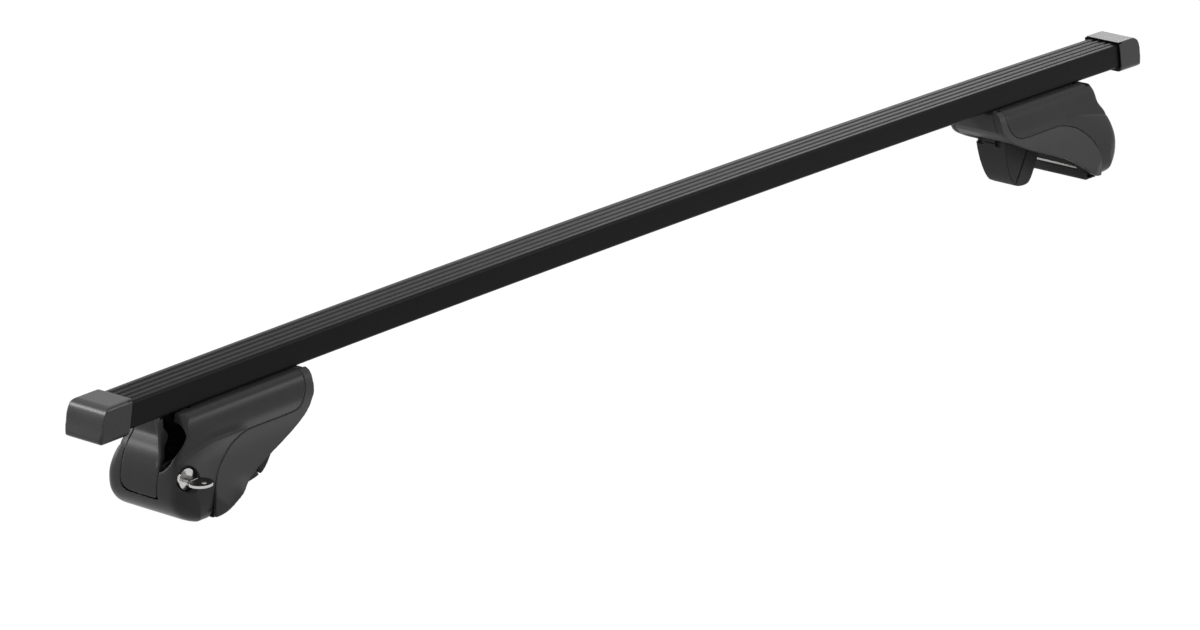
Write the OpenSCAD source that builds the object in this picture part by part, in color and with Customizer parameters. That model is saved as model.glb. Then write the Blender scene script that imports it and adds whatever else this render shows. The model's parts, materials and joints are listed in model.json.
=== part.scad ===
// Roof rack: one crossbar on two lockable feet that clamp onto a car's
// raised roof rails.
// X runs along the bar, Y along the car, Z is up. Each foot is drawn in a
// frame of its own, centred on the bar: x points out to the bar's near end,
// y to the side with the lock, z up. The right foot looks out to +X, and
// the left foot is the same foot turned half round.

/* [Crossbar] */
// Length of the steel bar without its end caps
bar_l = 1144; // [900:2:1400]
// Width of the bar's section
bar_w = 30; // [28:0.5:34]
// Height of the bar's section without its ribs
bar_h = 19.4; // [18:0.1:22]
// Rounding of the bar's long edges
bar_edge_r = 2.5; // [1.5:0.1:3]
// Wall of the bar
bar_wall = 2; // [1.6:0.1:2.4]
// Radius of the bar's upward bow
bow_r = 36000; // [30000:1000:60000]
// Width of the slot along the underside
slot_w = 10; // [9:0.5:12]
// Pitch of the ribs along the top
rib_pitch = 6; // [5.6:0.1:6.4]
// Height of the ribs along the top
rib_h = 0.8; // [0.5:0.1:1]

/* [End caps] */
// Distance from the middle of the bar to a cap's rim
cap_rim_x = 551; // [540:1:556]
// Length of a cap
cap_l = 33; // [31:0.5:36]
// Width of a cap
cap_w = 34; // [33.5:0.1:35]

/* [Feet] */
// Distance from the middle of the bar to each foot's own centre
foot_x = 452; // [380:2:454]
// Depth of a foot below the bar's centre line
foot_depth = 83.5; // [83.5:0.1:84]
// How far a foot's end wall stands out from the foot's centre
foot_end = 76.5; // [76.5:0.1:77]
// Half width of a foot where its side panels flare out most
foot_half_w = 43; // [42:0.1:44]
// Wall of the outer cover
cover_wall = 2.6; // [2.4:0.1:2.8]

/* [Clamp] */
// Height of the clamp bolt below the bar's centre line
bolt_drop = 44; // [43.5:0.1:44.5]
// Diameter of the clamp bolt
bolt_d = 8; // [7.6:0.1:8]
// Position of the fixed rubber pad's face
grip_x = 30; // [29:0.1:31]
// How much further the left foot's jaw is wound in than the right one's
left_jaw_in = 4.5; // [0:0.5:7]

/* [Lock] */
// Distance of the lock's axis from the foot's centre
lock_x = 66.4; // [65.8:0.1:66.4]
// Height of the lock's axis below the bar's centre line
lock_drop = 50; // [49.5:0.1:50.5]
// Diameter of the turning barrel
barrel_d = 11; // [10.6:0.1:11]

/* [Hidden] */
$fn = 48;
satin = [0.25, 0.25, 0.26];
shell = [0.2, 0.2, 0.21];
rubber = [0.05, 0.05, 0.05];
steel = [0.7, 0.7, 0.68];
dark_steel = [0.08, 0.08, 0.08];

// Lean of a foot on the bowed bar, and the bar's height at the foot
foot_lean = asin(foot_x / bow_r);
foot_sag = bow_r * (1 - cos(foot_lean));
// The round underside of a foot's end sets how high the bar stands
drum_r = 25;
drum_x = foot_end - drum_r;
drum_z = drum_r - foot_depth;
drum_low = drum_z * cos(foot_lean) - drum_x * sin(foot_lean) - drum_r;
bar_z = foot_sag - drum_low;
half_angle = asin(bar_l / 2 / bow_r);
bar_under = -bar_h / 2;
rib_y = [-1.5, -0.5, 0.5, 1.5];

// Places on a foot
roof_z = bar_under - 0.6;
core_x = 46;
door_near = 13;
door_far = -20.5;
door_foot_z = -66.3;
hinge_x = 70.3;
hinge_z = -60.2;
lock_face = 31;
lock_end = 19;
sleeve_d = 14.2;
seat_y = 14.4;
corner_turn = 50.2;
jaw_top = -37;
bolt_tip = -28.5;
nut_x = -26.5;
rod_z = -72.6;
jaw_end = [[0, 0], [14.4, 0], [14.4, -42], [13.4, -60], [12.2, -75],
  [11.4, -82], [0, -82]];
pad_end = [[0, -50], [31, -50], [32.4, -62], [34.2, -69], [35, -73],
  [35, -90], [0, -90]];

// A half outline with its mirror image, over the second or first axis
function both_sides(p) = concat(p, [for (i = [len(p) - 1 : -1 : 0])
  if (p[i][0] > 0) [-p[i][0], p[i][1]]]);
function both_ways(p) = concat(p, [for (i = [len(p) - 1 : -1 : 0])
  if (p[i][1] > 0) [p[i][0], -p[i][1]]]);

// Shapes that the nodes share

// Puts a foot's piece on the right end of the bar
module on_right() {
  translate([foot_x, 0, bar_z - foot_sag])
    rotate([0, foot_lean, 0])
      children();
}

// Puts a foot's piece on the left end of the bar
module on_left() {
  rotate([0, 0, 180])
    on_right()
      children();
}

// Pushes an outline in a foot's x and z across its width
module across(y0, y1) {
  translate([0, y1, 0])
    rotate([90, 0, 0])
      linear_extrude(y1 - y0)
        children();
}

// Pushes an outline in a foot's y and z along the bar
module along(x0, x1) {
  translate([x0, 0, 0])
    rotate([90, 0, 90])
      linear_extrude(x1 - x0)
        children();
}

module rounded_box(size, r) {
  translate([r, 0])
    square([size[0] - 2 * r, size[1]]);
  translate([0, r])
    square([size[0], size[1] - 2 * r]);
  for (x = [r, size[0] - r], y = [r, size[1] - r])
    translate([x, y])
      circle(r);
}

// Side outline of a whole foot, set in by t
module side_outline(t) {
  intersection() {
    union() {
      translate([drum_x, drum_z])
        circle(drum_r - t, $fn = 96);
      translate([-66 + t, drum_z - drum_r + t])
        square([drum_x + 66 - t, drum_r + 12]);
      polygon([
        [-64.8 + t, roof_z - t], [-64.8 + t, -60], [drum_x, -60],
        [foot_end - t, drum_z], [75.8 - t, -53], [74 - t, -46],
        [71.4 - t, -40], [67.8 - t, -34.5], [64 - t, -30.5],
        [61.2 - t, -27], [59.8 - t, -22], [58.6 - t, -16],
        [57.4 - t, roof_z - t]
      ]);
    }
    translate([-100, -100])
      square([200, 100 + roof_z - t]);
  }
}

// Half of a foot seen from its end, set in by t
function end_half(t) = [
  [0, -11.6 - t], [16.4 - t, -11.6 - t], [19.6 - t, -12.4 - t],
  [22.2 - t, -14.4 - t], [23.8 - t, -17.6 - t / 2], [24.6 - t, -21],
  [26.4 - t, -31.5], [27.4 - t, -34.5], [29.6 - t, -37],
  [32.4 - t, -43], [37.2 - t, -59], [40 - t, -69],
  [foot_half_w - 1.6 - t, -75], [40.8 - t, -78.6], [39 - t, -81.2],
  [36 - t, -83 + t], [31 - t, -84 + t], [0, -84 + t]
];

// The same for the outer cover, whose lower edges are rounder
function drum_half(t) = [
  [0, 0], [45, 0], [45, -40], [34.6 - t, -48], [36.6 - t, -56],
  [37.6 - t, -64], [37.6 - t, -70], [36.6 - t, -75.5],
  [34.6 - t, -79.6], [31.4 - t, -82.4 + t], [27 - t, -84 + t],
  [0, -84 + t]
];

// Half of a foot seen from above, set in by t
function plan_half(t) = [
  [-66 + t, 0], [-66 + t, 26 - t], [-62, 33], [-50, 36], [-20, 41],
  [5, 43 - t], [30, 43 - t], [48, 39.4 - t], [60, 37.6 - t],
  [68, 36.6 - t], [72 - t / 2, 35.4 - t], [74.6 - t, 33.7 - t],
  [76.2 - t, 31.4 - t], [77 - t, 27 - t], [77 - t, 0]
];

// A foot's outer corner, seen level along the corner's own face
module corner_outline(t) {
  polygon([
    [-150, -100], [-150, 0], [50 - t, 0], [50.6 - t, -12.5],
    [53.4 - t, -15.7], [55.4 - t, -20], [57.3 - t, -25.5],
    [60 - t, -28.7], [63.4 - t, -31.6], [66 - t, -35.2],
    [68.8 - t, -40], [71.4 - t, -46], [73.1 - t, -52.5],
    [74 - t, -59], [74 - t, -65], [73.3 - t, -69.5],
    [71.8 - t, -74.4], [69.4 - t, -80], [67 - t, -84], [67 - t, -100]
  ]);
}

// The whole body of a foot, set in by t all round
module foot_body(t) {
  intersection() {
    across(-45, 45)
      side_outline(t);
    along(-70, 80)
      polygon(both_sides(end_half(t)));
    translate([0, 0, -90])
      linear_extrude(90)
        polygon(both_ways(plan_half(t)));
    rotate(corner_turn)
      across(-110, 110)
        corner_outline(t);
    rotate(-corner_turn)
      across(-110, 110)
        corner_outline(t);
  }
}

// What the outer cover takes of a foot's side, moved out by g
module cover_region(g) {
  polygon([
    [-56.6 + g, 0], [-56.6 + g, -19], [-55.4 + g, -23.5 + g],
    [-52 + g, -28.5 + g], [-47 + g, -32 + g], [-40, -33.4 + g],
    [-26, -33.6 + g], [0, -33.4 + g], [8, -34 + g], [16, -35.8 + g],
    [24.5 + g, -38.8 + g], [31 + g, -42.8 + g], [36.6 + g, -47 + g],
    [41.6 + g, -52 + g], [45.4 + g, -58 + g], [47.6 + g, -65],
    [48.4 + g, -72], [48.6 + g, -100], [100, -100], [100, 0]
  ]);
}

// The underside of the housing: a sweep from the inner end to the drum
module housing_outline() {
  polygon([
    [-64.8, 0], [-64.8, -21], [-63.6, -26], [-60, -30.4],
    [-51.5, -36.4], [-35.5, -43.6], [-20, -49.4], [-5.3, -54.6],
    [7, -59.5], [18.4, -65.4], [27, -71.2], [33.4, -75.6],
    [39, -78.8], [43, -80], [47, -80.6], [60, -80.6], [60, 0]
  ]);
}

// What a side panel takes of a foot's end, from the side s
module panel_region(s, g) {
  polygon([
    [s * (17 + g), 0], [s * (17 + g), -15], [s * (19 + g), -22],
    [s * (22 + g), -28], [s * (25 + g), -34], [s * (28 + g), -60],
    [s * (35.5 + g), -79], [s * (35.5 + g), -90], [s * 60, -90],
    [s * 60, 0]
  ]);
}

// The door's outline on a foot's end, grown by g
module door_face(g) {
  polygon([
    [door_far - g, 0], [door_far - g, door_foot_z + 12],
    [door_far + 1.2 - g, door_foot_z + 7 - g],
    [door_far + 4 - g, door_foot_z + 3 - g],
    [door_far + 9, door_foot_z + 0.6 - g],
    [door_far + 15, door_foot_z - g],
    [door_near - 4, door_foot_z - g],
    [door_near - 1.8 + g / 2, door_foot_z + 0.6 - g],
    [door_near - 0.5 + g, door_foot_z + 2 - g],
    [door_near + g, door_foot_z + 4.4],
    [door_near + g, 0]
  ]);
}

module bar_section() {
  difference() {
    union() {
      translate([-bar_h / 2, -bar_w / 2])
        rounded_box([bar_h, bar_w], bar_edge_r);
      for (k = rib_y)
        translate([bar_h / 2 + rib_h - 1.5, k * rib_pitch])
          circle(1.5, $fn = 24);
    }
    translate([-bar_h / 2 + bar_wall, -bar_w / 2 + bar_wall])
      square([bar_h - 2 * bar_wall, bar_w - 2 * bar_wall]);
    translate([-bar_h / 2 - 1, -slot_w / 2])
      square([bar_wall + 2, slot_w]);
  }
}

// Bar and end caps

module crossbar() {
  color([0.15, 0.15, 0.15])
    translate([0, 0, bar_z - bow_r])
      rotate([90, 0, 0])
        rotate([0, 0, 90 - half_angle])
          rotate_extrude(angle = 2 * half_angle, $fn = 6000)
            translate([bow_r, 0])
              bar_section();
}

module end_cap() {
  lean = asin(cap_rim_x / bow_r);
  sag = bow_r * (1 - cos(lean));
  top = 12;
  low = -13.2;
  translate([cap_rim_x, 0, bar_z - sag])
    rotate([0, lean, 0])
      difference() {
        intersection() {
          across(-cap_w / 2, cap_w / 2)
            polygon([
              [0, top], [17, top], [21, top - 0.8], [24.6, top - 3],
              [27, top - 6], [28.2, top - 9.5], [29, top - 14],
              [30.6, low + 6], [31.4, low + 3], [30.6, low + 1.2],
              [28.6, low + 0.2], [25, low], [4.6, low]
            ]);
          along(-1, cap_l)
            translate([-cap_w / 2, low])
              rounded_box([cap_w, top - low], 3);
        }
        translate([-1, -bar_w / 2, -bar_h / 2 - 0.03])
          cube([bar_l / 2 - cap_rim_x + 1.3, bar_w, bar_h + rib_h + 0.1]);
      }
}

module end_cap_right() {
  color(satin)
    end_cap();
}

module end_cap_left() {
  color(satin)
    rotate([0, 0, 180])
      end_cap();
}

// Fixed pieces of a foot

// Core of a foot: saddle under the bar, inner end and clamp bearing
module housing() {
  color(satin)
    difference() {
      union() {
        // inner end between the side panels
        intersection() {
          foot_body(0);
          across(-45, 45)
            housing_outline();
          difference() {
            translate([-70, -45, -90])
              cube([13.05, 90, 90]);
            for (s = [-1, 1])
              along(-80, 80)
                panel_region(s, -0.2);
          }
        }
        intersection() {
          foot_body(cover_wall);
          translate([-70, -45, -90])
            cube([core_x + 70, 90, 90]);
          union() {
            across(-45, 45)
              housing_outline();
            translate([grip_x + 6, -29, -90])
              cube([20, 58, 40]);
          }
        }
        translate([-62, -seat_y + 0.4, -20])
          cube([core_x + 62, 2 * seat_y - 0.8, 20 + roof_z]);
      }
      // space for the jaw and for the rail between the side walls
      intersection() {
        foot_body(cover_wall + 2.6);
        across(-40, 40)
          polygon([
            [-51, -100], [-51, -32], [grip_x + 6, -32],
            [grip_x + 6, -100]
          ]);
      }
      translate([grip_x + 5, 0, -bolt_drop])
        rotate([0, 90, 0])
          cylinder(d = bolt_d + 0.6, h = 40);
      // screws up into the plate that runs in the bar's slot
      for (x = [-35, 15])
        translate([x, 0, -60]) {
          cylinder(d = 6.4, h = 60);
          cylinder(d = 12, h = 38);
        }
      for (s = [-1, 1])
        translate([core_x - 12, s * 18.4, -20])
          rotate([0, 90, 0])
            cylinder(d = 3, h = 30);
    }
}

// Satin panel with a foot's flared lower side and its inner strip
module side_panel(s) {
  color(satin)
    intersection() {
      difference() {
        foot_body(0);
        foot_body(cover_wall);
        across(-46, 46)
          cover_region(-0.35);
      }
      across(-45, 45)
        housing_outline();
      along(-70, 60)
        panel_region(s, 0);
    }
}

// Cover over a foot's top and outer end, with the door's opening,
// the finger recess and the lock's bore
module outer_cover() {
  color(shell)
    difference() {
      intersection() {
        foot_body(0);
        across(-46, 46)
          cover_region(0);
        along(-70, 80)
          polygon(both_sides(drum_half(0)));
      }
      difference() {
        intersection() {
          foot_body(cover_wall);
          along(-70, 80)
            polygon(both_sides(drum_half(cover_wall)));
        }
        // seat of the lock
        translate([core_x + 6, lock_end, -lock_drop - 11])
          cube([40, 30, 21]);
        // lugs for the hinge pin and for the two screws
        translate([hinge_x - 4, -30, hinge_z - 4])
          cube([9, 30 + door_far - 0.7, 7.2]);
        translate([hinge_x - 4, door_near + 0.7, hinge_z - 4])
          cube([9, 4, 7.2]);
        for (s = [-1, 1])
          translate([core_x, s * 20 - 6, -24])
            cube([2.4, 12, 20]);
      }
      // the housing's saddle comes up to the bar between the two wings
      translate([-70, -seat_y, -40])
        cube([core_x + 70, 2 * seat_y, 40]);
      along(core_x + 4, 90)
        door_face(0.5);
      // the door's lower edge turns past the cover's
      translate([hinge_x, door_far - 0.5, hinge_z])
        rotate([-90, 0, 0])
          cylinder(r = 8, h = door_near - door_far + 1);
      // finger recess beside the door
      along(core_x + 6, 90)
        polygon([
          [door_near, -16.5], [16, -17], [20, -18.2], [22.6, -20.4],
          [24.2, -23.6], [24.4, -27], [24, -31], [23, -36],
          [21.4, -40], [19.2, -43.4], [16, -46], [door_near, -47.6]
        ]);
      translate([lock_x, 10, -lock_drop])
        rotate([-90, 0, 0])
          cylinder(d = sleeve_d, h = 50);
      translate([lock_x, lock_face - 0.6, -lock_drop])
        rotate([-90, 0, 0])
          cylinder(d = 16.6, h = 20);
      translate([hinge_x, -24, hinge_z])
        rotate([-90, 0, 0])
          cylinder(d = 3, h = 42);
      for (s = [-1, 1])
        translate([core_x - 2, s * 18.4, -20])
          rotate([0, 90, 0])
            cylinder(d = 3.4, h = 6);
    }
}

// Clamping plate that runs inside the bar above its slot
module slot_plate() {
  color(steel)
    difference() {
      union() {
        translate([-46, -11, bar_under + bar_wall + 0.4])
          cube([72, 22, 3]);
        translate([-44, -4.4, roof_z])
          cube([68, 8.8, bar_under + bar_wall + 0.5 - roof_z]);
      }
      for (x = [-35, 15])
        translate([x, 0, -30])
          cylinder(d = 6, h = 40);
    }
}

module slot_screws() {
  color(steel)
    for (x = [-35, 15])
      translate([x, 0, -26])
        difference() {
          union() {
            cylinder(d = 6, h = 26 + bar_under + bar_wall + 3);
            cylinder(d = 10, h = 4);
          }
          translate([0, 0, -1])
            cylinder(d = 5.8, h = 3.4, $fn = 6);
        }
}

module cover_screws() {
  color(steel)
    for (s = [-1, 1])
      translate([core_x - 10, s * 18.4, -20])
        rotate([0, 90, 0]) {
          cylinder(d = 3, h = 12.4);
          translate([0, 0, 12.4])
            cylinder(d = 5.2, h = 1.8);
        }
}

// Rubber pad on the housing's side of the rail, with a groove for the rod
module fixed_pad() {
  color(rubber)
    difference() {
      intersection() {
        across(-35, 35)
          polygon([
            [grip_x, -64], [grip_x + 6, -61], [grip_x + 6, -80.9],
            [47, -80.9], [47, -82.4], [grip_x + 4, -82.4],
            [grip_x + 1, -80.2], [grip_x, -78]
          ]);
        along(20, 60)
          polygon(both_sides(pad_end));
      }
      translate([grip_x - 1, -28, rod_z - 1.4])
        cube([3, 56, 2.8]);
      translate([grip_x + 2.2, -28, rod_z])
        rotate([-90, 0, 0])
          cylinder(d = 3.6, h = 56);
    }
}

// Bright rod across the foot that holds the fixed pad in its place
module cross_rod() {
  color(steel)
    translate([grip_x + 2.2, -28, rod_z])
      rotate([-90, 0, 0])
        cylinder(d = 3.6, h = 56);
}

module bolt_washer() {
  color(dark_steel)
    translate([core_x, 0, -bolt_drop])
      rotate([0, 90, 0])
        difference() {
          cylinder(d = 17, h = 1.6);
          translate([0, 0, -1])
            cylinder(d = bolt_d + 0.1, h = 4);
        }
}

// Door

// The door's near edge stands straight up while the far one follows the
// foot's neck
module pull_edge() {
  translate([0, 0, -50])
    linear_extrude(60)
      polygon([
        [52, -8], [57.4, -8], [63.4, 3], [69.4, door_near - 1],
        [70, door_near], [70, door_near + 5], [52, door_near + 5]
      ]);
}

// The hollow behind it
module pull_hollow() {
  translate([0, 0, -55])
    linear_extrude(70)
      polygon([
        [40, -6.4], [55, -6.4], [60.9, 3.6], [66.6, door_near - 1],
        [67.4, door_near + 9], [40, door_near + 9]
      ]);
}

module door() {
  color(shell)
    difference() {
      union() {
        difference() {
          intersection() {
            union() {
              foot_body(0);
              pull_edge();
            }
            along(core_x + 4, 90)
              door_face(0);
            // the top is cut low enough to swing out under the bar
            across(-40, 40)
              polygon([
                [core_x + 4, -100], [95, -100], [95, roof_z - 1.2],
                [60.5, roof_z - 1.2], [core_x + 4, roof_z - 4.7]
              ]);
          }
          foot_body(cover_wall);
          pull_hollow();
        }
        // side flange under the edge that the fingers pull
        across(door_near - 2.6, door_near)
          polygon([
            [66, -13], [69.9, -13], [69.9, -36], [72, -41.6],
            [74.6, -49], [70, -48], [64, -38], [61.6, -28],
            [63, -20]
          ]);
        // keeper for the cam
        across(door_near - 2.6, door_near)
          polygon([
            [53.2, -47.4], [57.2, -47.4], [63, -49.4], [71, -48],
            [66, -34], [61.6, -34], [53.2, -43.4]
          ]);
        translate([53.2, door_near - 2.6, -47.4])
          cube([4, 8, 4]);
        // knuckles on the hinge pin
        for (y = [-14, 4])
          translate([hinge_x, y, hinge_z])
            rotate([-90, 0, 0])
              cylinder(d = 7, h = 6);
        for (y = [-14, 4])
          translate([hinge_x, y, hinge_z - 1])
            cube([4.2, 6, 5]);
      }
      translate([hinge_x, -30, hinge_z])
        rotate([-90, 0, 0])
          cylinder(d = 3.12, h = 60);
    }
}

module door_hinge_pin() {
  color(dark_steel)
    translate([hinge_x, -24, hinge_z])
      rotate([-90, 0, 0])
        cylinder(d = 3, h = 42);
}

// Lock

module lock_sleeve() {
  color(steel)
    translate([lock_x, lock_end, -lock_drop])
      rotate([-90, 0, 0])
        difference() {
          cylinder(d = sleeve_d, h = lock_face - lock_end);
          translate([0, 0, -1])
            cylinder(d = barrel_d + 0.1, h = 30);
        }
}

module lock_barrel() {
  color(steel)
    translate([lock_x, lock_end, -lock_drop])
      rotate([-90, 0, 0])
        difference() {
          cylinder(d = barrel_d, h = lock_face - lock_end);
          translate([-4, -1.1, 1])
            cube([8, 2.2, 30]);
        }
}

// Cam on the barrel's inner end; a quarter turn brings its wide tongue up
// in front of the door's keeper
module lock_cam() {
  color(steel)
    across(lock_end - 3.2, lock_end)
      translate([lock_x, -lock_drop]) {
        circle(r = 6.8);
        intersection() {
          circle(r = 9.3);
          polygon([[0, 0], [-20, -1.4], [-20, -20], [-8.1, -18.3]]);
        }
      }
}

module lock_key() {
  color(steel)
    translate([lock_x, lock_end + 1.6, -lock_drop]) {
      translate([-3.8, 0, -1])
        cube([7.6, 17, 2]);
      difference() {
        translate([0, 22.9, -1.3])
          cylinder(d = 17, h = 2.6);
        translate([0, 26.4, -2])
          cylinder(d = 3.6, h = 4);
      }
    }
}

// Clamp

module clamp_bolt() {
  color(dark_steel)
    translate([bolt_tip, 0, -bolt_drop])
      rotate([0, 90, 0])
        difference() {
          union() {
            cylinder(d = bolt_d, h = core_x - bolt_tip + 1.6);
            translate([0, 0, core_x - bolt_tip + 1.6])
              cylinder(d = 13, h = 8);
          }
          translate([0, 0, core_x - bolt_tip + 4.6])
            cylinder(d = 6.9, h = 10, $fn = 6);
        }
}

// Moves the left foot's jaw pieces along the bolt
module wound_in() {
  translate([left_jaw_in, 0, 0])
    children();
}

// Moving jaw, pulled towards the fixed pad by the bolt
module jaw() {
  color(satin)
    difference() {
      intersection() {
        across(-20, 20)
          polygon([
            [-44.6, jaw_top], [-44.8, -42], [-43.2, -50], [-40.2, -59],
            [-35.6, -68.6], [-30.2, -75.6], [-28.2, -77],
            [-26.2, -75.2], [-15, -50.6], [-13, jaw_top]
          ]);
        along(-60, 20)
          polygon(both_sides(jaw_end));
      }
      translate([-41.4, 0, -bolt_drop])
        rotate([0, 90, 0])
          cylinder(d = bolt_d + 1, h = 60);
      // pocket for the nut
      translate([nut_x, -6.5, -bolt_drop - 6.5])
        cube([6.5, 13, 40]);
      // space under the plate, with a notch at each end of it
      translate([-47, -4.8, -42])
        cube([4.6, 12.4, 12]);
      translate([-47, -9.3, -43.9])
        cube([5, 5.1, 5]);
      translate([-47, 7.4, -44.2])
        cube([5, 4.6, 5]);
      translate([-47, 7.4, -42.6])
        cube([4.4, 14, 12]);
    }
}

module jaw_plate() {
  color(satin)
    difference() {
      translate([-45.2, -4.2, -41])
        cube([2.8, 11.2, 6]);
      translate([-50, 1, -37.2])
        rotate([0, 90, 0])
          cylinder(d = 1.8, h = 10);
    }
}

module jaw_nut() {
  color(steel)
    translate([nut_x, 0, -bolt_drop])
      difference() {
        translate([0, -6.5, -6.5])
          cube([6.5, 13, 13]);
        translate([-1, 0, 0])
          rotate([0, 90, 0])
            cylinder(d = bolt_d + 0.1, h = 10);
      }
}

// Rubber block on the moving jaw
module jaw_pad() {
  color(rubber)
    intersection() {
      across(-20, 20)
        polygon([
          [-15, -50.6], [-26.2, -75.2], [-28.2, -77], [-24, -78.8],
          [-16, -80.8], [-11.6, -81.2], [-8.6, -79.6], [-4.6, -70],
          [-1, -61], [-0.6, -56], [-4, -52.4]
        ]);
      along(-60, 20)
        polygon(both_sides(jaw_end));
    }
}

// The nodes

module housing_left() { on_left() housing(); }
module side_panel_lock_left() { on_left() side_panel(1); }
module side_panel_plain_left() { on_left() side_panel(-1); }
module outer_cover_left() { on_left() outer_cover(); }
module door_left() { on_left() door(); }
module door_hinge_pin_left() { on_left() door_hinge_pin(); }
module lock_sleeve_left() { on_left() lock_sleeve(); }
module lock_barrel_left() { on_left() lock_barrel(); }
module lock_cam_left() { on_left() lock_cam(); }
module key() { on_left() lock_key(); }
module clamp_bolt_left() { on_left() clamp_bolt(); }
module bolt_washer_left() { on_left() bolt_washer(); }
module jaw_left() { on_left() wound_in() jaw(); }
module jaw_nut_left() { on_left() wound_in() jaw_nut(); }
module jaw_pad_left() { on_left() wound_in() jaw_pad(); }
module jaw_plate_left() { on_left() wound_in() jaw_plate(); }
module fixed_pad_left() { on_left() fixed_pad(); }
module cross_rod_left() { on_left() cross_rod(); }
module slot_plate_left() { on_left() slot_plate(); }
module slot_screws_left() { on_left() slot_screws(); }
module cover_screws_left() { on_left() cover_screws(); }

module housing_right() { on_right() housing(); }
module side_panel_lock_right() { on_right() side_panel(1); }
module side_panel_plain_right() { on_right() side_panel(-1); }
module outer_cover_right() { on_right() outer_cover(); }
module door_right() { on_right() door(); }
module door_hinge_pin_right() { on_right() door_hinge_pin(); }
module lock_sleeve_right() { on_right() lock_sleeve(); }
module lock_barrel_right() { on_right() lock_barrel(); }
module lock_cam_right() { on_right() lock_cam(); }
module clamp_bolt_right() { on_right() clamp_bolt(); }
module bolt_washer_right() { on_right() bolt_washer(); }
module jaw_right() { on_right() jaw(); }
module jaw_nut_right() { on_right() jaw_nut(); }
module jaw_pad_right() { on_right() jaw_pad(); }
module jaw_plate_right() { on_right() jaw_plate(); }
module fixed_pad_right() { on_right() fixed_pad(); }
module cross_rod_right() { on_right() cross_rod(); }
module slot_plate_right() { on_right() slot_plate(); }
module slot_screws_right() { on_right() slot_screws(); }
module cover_screws_right() { on_right() cover_screws(); }

crossbar();
end_cap_left();
end_cap_right();
housing_left();
side_panel_lock_left();
side_panel_plain_left();
outer_cover_left();
door_left();
door_hinge_pin_left();
lock_sleeve_left();
lock_barrel_left();
lock_cam_left();
key();
clamp_bolt_left();
bolt_washer_left();
jaw_left();
jaw_nut_left();
jaw_pad_left();
jaw_plate_left();
fixed_pad_left();
cross_rod_left();
slot_plate_left();
slot_screws_left();
cover_screws_left();
housing_right();
side_panel_lock_right();
side_panel_plain_right();
outer_cover_right();
door_right();
door_hinge_pin_right();
lock_sleeve_right();
lock_barrel_right();
lock_cam_right();
clamp_bolt_right();
bolt_washer_right();
jaw_right();
jaw_nut_right();
jaw_pad_right();
jaw_plate_right();
fixed_pad_right();
cross_rod_right();
slot_plate_right();
slot_screws_right();
cover_screws_right();
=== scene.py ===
# %% [markdown]
# # A roof rack: one black crossbar on two lockable feet
#
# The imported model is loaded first. Its solids carry the sizes, the holes and
# the moving pieces, and they stay where they are. What shows most, such as
# the moulded covers of the feet, is modelled again here with softer forms,
# and the rest gets its paint, plating or rubber.

import json
import math

import bpy
from mathutils import Matrix, Vector

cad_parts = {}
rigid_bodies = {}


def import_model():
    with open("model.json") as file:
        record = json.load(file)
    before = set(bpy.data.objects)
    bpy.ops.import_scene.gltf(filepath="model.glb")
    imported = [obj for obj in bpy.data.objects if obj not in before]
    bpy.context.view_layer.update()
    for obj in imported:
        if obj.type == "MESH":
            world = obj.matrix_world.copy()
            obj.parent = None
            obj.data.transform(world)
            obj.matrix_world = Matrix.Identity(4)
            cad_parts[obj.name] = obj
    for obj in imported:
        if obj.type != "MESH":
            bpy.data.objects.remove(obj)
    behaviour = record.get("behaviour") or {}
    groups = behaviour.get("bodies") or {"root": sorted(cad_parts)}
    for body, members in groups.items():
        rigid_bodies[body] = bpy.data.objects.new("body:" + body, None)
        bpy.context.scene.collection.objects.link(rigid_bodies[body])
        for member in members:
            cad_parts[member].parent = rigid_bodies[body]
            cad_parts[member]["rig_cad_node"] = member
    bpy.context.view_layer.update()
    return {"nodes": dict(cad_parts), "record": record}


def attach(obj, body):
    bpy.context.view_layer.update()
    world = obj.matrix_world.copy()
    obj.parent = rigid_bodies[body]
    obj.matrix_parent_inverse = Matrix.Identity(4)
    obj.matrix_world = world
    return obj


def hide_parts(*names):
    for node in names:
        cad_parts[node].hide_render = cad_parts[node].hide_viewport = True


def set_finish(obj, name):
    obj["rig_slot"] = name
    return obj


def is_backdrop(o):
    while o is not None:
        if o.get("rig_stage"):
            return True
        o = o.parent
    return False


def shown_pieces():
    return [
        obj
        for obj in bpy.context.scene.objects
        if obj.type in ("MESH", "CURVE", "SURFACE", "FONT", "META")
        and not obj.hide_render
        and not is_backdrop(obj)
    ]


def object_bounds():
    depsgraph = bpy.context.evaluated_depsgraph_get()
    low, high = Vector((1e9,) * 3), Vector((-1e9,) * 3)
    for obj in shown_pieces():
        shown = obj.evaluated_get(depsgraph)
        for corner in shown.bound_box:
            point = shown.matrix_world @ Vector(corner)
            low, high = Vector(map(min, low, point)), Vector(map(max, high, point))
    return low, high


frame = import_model()
bpy.ops.object.select_all(action="DESELECT")

# %% [markdown]
# ## Camera
#
# The picture shows the rack from beyond its left end, a little from above,
# through a long lens. A long lens keeps the far foot nearly as large as the
# near one. The camera is turned by its own three axes, so that the small
# roll of the picture is kept as well.

# %% Camera
# The middle of the bar lies this many metres above the ground.
BAR_Z = 0.0869797
AZIMUTH, ELEVATION, ROLL = -49.7251, 18.4190, -0.20057
SENSOR, PICTURE_WIDTH, LENS_IN_DOTS = 36, 1200, 5964.669
DISTANCE, SHIFT_RIGHT, SHIFT_UP = 4.295444, 0.038934, 0.0754556

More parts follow.
